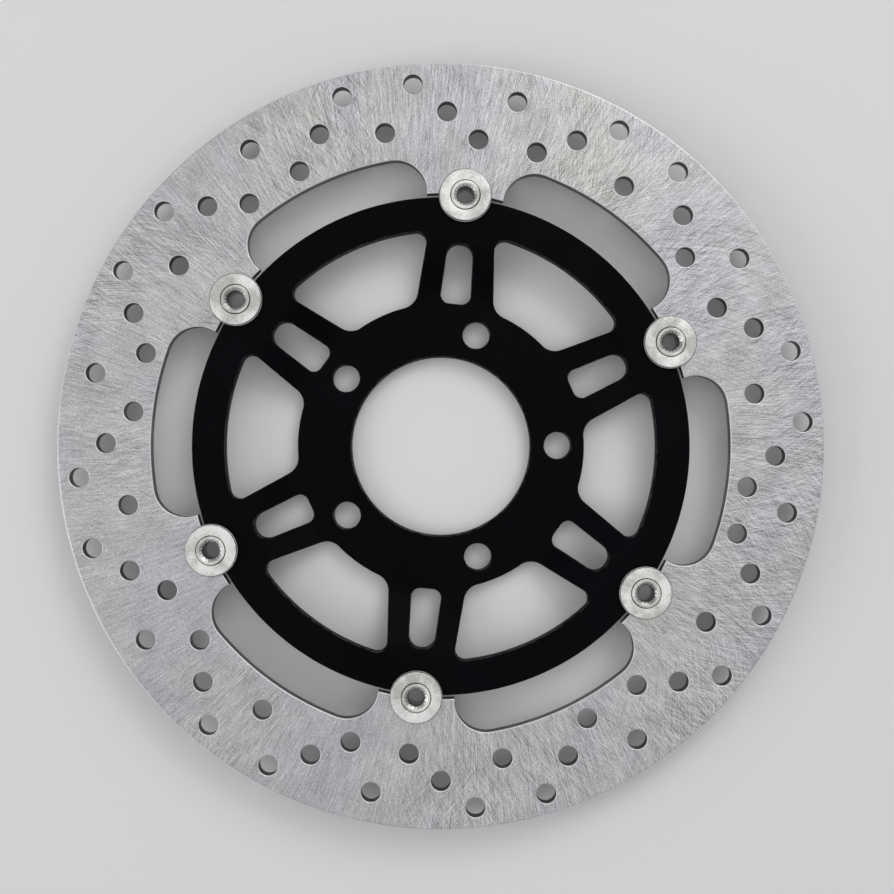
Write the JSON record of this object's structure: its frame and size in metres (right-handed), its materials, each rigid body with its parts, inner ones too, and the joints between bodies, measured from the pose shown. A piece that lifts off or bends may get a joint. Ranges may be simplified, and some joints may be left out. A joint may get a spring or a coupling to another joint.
{
  "type": "brake disc rotor",
  "caption": "Floating motorcycle brake disc: drilled steel friction ring on a dished black spider carrier, joined by riveted float buttons with wave springs and flat washers.",
  "frame": {"origin": "on the axle line, in the plane of the face that bolts to the wheel hub", "axes": "+Z along the axle, from the hub face towards the outer side of the disc; +X 24.4 degrees clockwise of the first float button, seen from +Z"},
  "size_m": [0.29, 0.29, 0.019],
  "materials": {
    "friction_steel": "stainless steel, ground across the friction face",
    "black_anodised": "machined aluminium, satin black anodised",
    "rivet_steel": "turned stainless steel, rolled lip",
    "washer_steel": "stamped stainless steel, lightly ground",
    "spring_steel": "spring steel strip"
  },
  "bodies": {
    "carrier": {"carrier": "black_anodised"},
    "friction_ring": {"friction_ring": "friction_steel"},
    "button_1": {"bobbin_1": "rivet_steel", "wave_spring_1": "spring_steel", "flat_washer_1": "washer_steel"},
    "button_2": {"bobbin_2": "rivet_steel", "wave_spring_2": "spring_steel", "flat_washer_2": "washer_steel"},
    "button_3": {"bobbin_3": "rivet_steel", "wave_spring_3": "spring_steel", "flat_washer_3": "washer_steel"},
    "button_4": {"bobbin_4": "rivet_steel", "wave_spring_4": "spring_steel", "flat_washer_4": "washer_steel"},
    "button_5": {"bobbin_5": "rivet_steel", "wave_spring_5": "spring_steel", "flat_washer_5": "washer_steel"},
    "button_6": {"bobbin_6": "rivet_steel", "wave_spring_6": "spring_steel", "flat_washer_6": "washer_steel"}
  },
  "joints": [
    {"name": "ring_float", "type": "slide", "parent": "carrier", "child": "friction_ring", "axis": [0, 0, 1], "range_m": [-0.00025, 0.00025]},
    {"name": "button_1_spin", "type": "hinge", "parent": "carrier", "child": "button_1", "pos_m": [0.08647, 0.03922, 0.0135], "axis": [0, 0, 1], "continuous": true},
    {"name": "button_2_spin", "type": "hinge", "parent": "carrier", "child": "button_2", "pos_m": [0.00927, 0.0945, 0.0135], "axis": [0, 0, 1], "continuous": true},
    {"name": "button_3_spin", "type": "hinge", "parent": "carrier", "child": "button_3", "pos_m": [-0.0772, 0.05527, 0.0135], "axis": [0, 0, 1], "continuous": true},
    {"name": "button_4_spin", "type": "hinge", "parent": "carrier", "child": "button_4", "pos_m": [-0.08647, -0.03922, 0.0135], "axis": [0, 0, 1], "continuous": true},
    {"name": "button_5_spin", "type": "hinge", "parent": "carrier", "child": "button_5", "pos_m": [-0.00927, -0.0945, 0.0135], "axis": [0, 0, 1], "continuous": true},
    {"name": "button_6_spin", "type": "hinge", "parent": "carrier", "child": "button_6", "pos_m": [0.0772, -0.05527, 0.0135], "axis": [0, 0, 1], "continuous": true}
  ]
}
